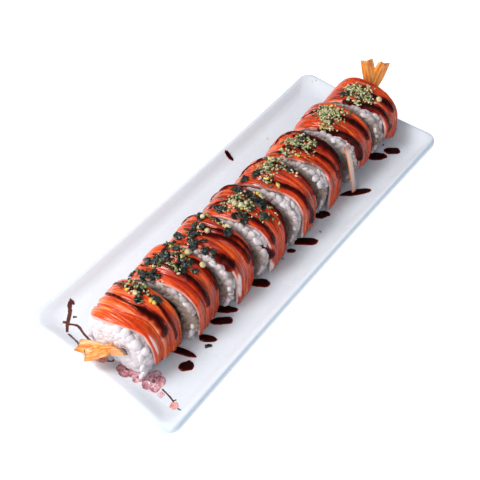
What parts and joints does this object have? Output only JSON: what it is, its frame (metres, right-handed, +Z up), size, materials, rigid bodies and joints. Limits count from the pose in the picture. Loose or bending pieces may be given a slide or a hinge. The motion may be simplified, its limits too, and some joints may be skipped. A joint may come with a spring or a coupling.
{
  "type": "uramaki roll on a plate",
  "caption": "Sliced prawn uramaki roll under draped crab stick, sauce and furikake, served as a food prop on a long white rectangular plate.",
  "frame": {"origin": "under the middle of the plate, on the surface its foot stands on", "axes": "+X along the plate and the roll, +Z up, +Y across the plate"},
  "size_m": [0.256, 0.105, 0.0576],
  "materials": {
    "glazed_white": "gloss",
    "rice": "satin",
    "nori": "satin",
    "fried_prawn": "matte",
    "greens": "satin",
    "crab_stick": "gloss",
    "prawn_tail": "satin"
  },
  "bodies": {
    "root": {"plate": "glazed_white", "rice_1": "rice", "nori_1": "nori", "prawn_1": "fried_prawn", "greens_1": "greens", "crab_1": "crab_stick", "rice_2": "rice", "nori_2": "nori", "prawn_2": "fried_prawn", "greens_2": "greens", "crab_2": "crab_stick", "rice_3": "rice", "nori_3": "nori", "prawn_3": "fried_prawn", "greens_3": "greens", "crab_3": "crab_stick", "rice_4": "rice", "nori_4": "nori", "prawn_4": "fried_prawn", "greens_4": "greens", "crab_4": "crab_stick", "rice_5": "rice", "nori_5": "nori", "prawn_5": "fried_prawn", "greens_5": "greens", "crab_5": "crab_stick", "rice_6": "rice", "nori_6": "nori", "prawn_6": "fried_prawn", "greens_6": "greens", "crab_6": "crab_stick", "rice_7": "rice", "nori_7": "nori", "prawn_7": "fried_prawn", "greens_7": "greens", "crab_7": "crab_stick", "rice_8": "rice", "nori_8": "nori", "prawn_8": "fried_prawn", "greens_8": "greens", "crab_8": "crab_stick", "crab_loose": "crab_stick", "tail_near": "prawn_tail", "tail_far": "prawn_tail"}
  },
  "joints": []
}
